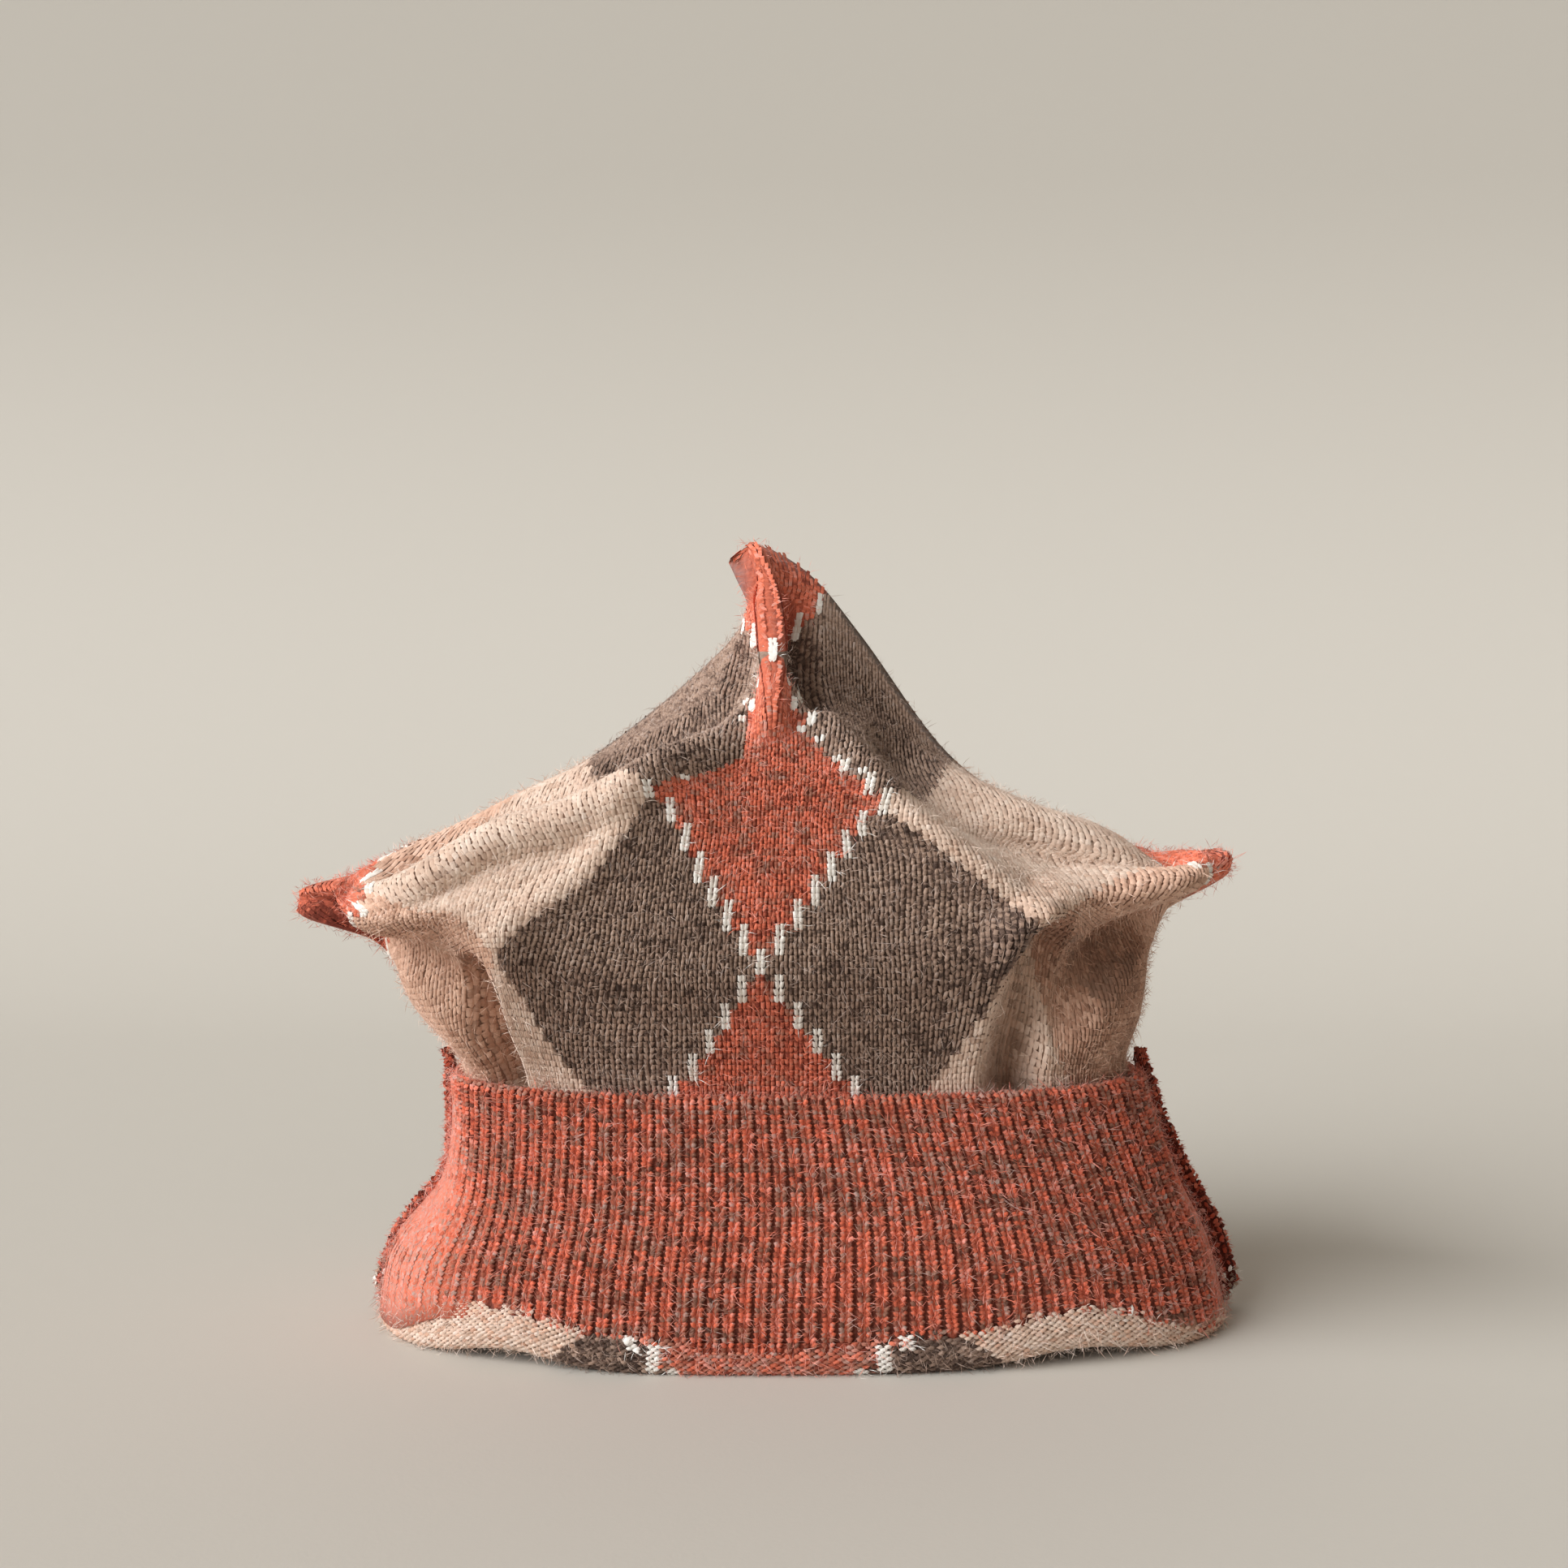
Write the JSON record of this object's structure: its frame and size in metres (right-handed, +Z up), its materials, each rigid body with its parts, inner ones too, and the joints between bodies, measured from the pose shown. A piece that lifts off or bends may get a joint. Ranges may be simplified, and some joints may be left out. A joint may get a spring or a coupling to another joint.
{
  "type": "beanie",
  "caption": "Knitted argyle beanie with a peak, pointed side tips and a turned-up ribbed cuff, standing open side down and hollow for a head.",
  "frame": {"origin": "middle of the footprint, on the surface that the fold rests on", "axes": "+Z up through the crown, +X along the width towards the wearer's left tip side seen on the right, -Y out of the front"},
  "size_m": [0.2627, 0.1106, 0.2147],
  "materials": {
    "argyle_knit": "lightly felted argyle wool knit in coral, grey-brown, cream and tan with white stitches",
    "rust_rib": "heathered rust wool rib",
    "overlock_edge": "ragged overlocked wool seam edge"
  },
  "bodies": {
    "root": {"crown_front": "argyle_knit", "crown_back": "argyle_knit", "cuff_front": "rust_rib", "cuff_back": "rust_rib", "cuff_seam_left": "overlock_edge", "cuff_seam_right": "overlock_edge"}
  },
  "joints": []
}
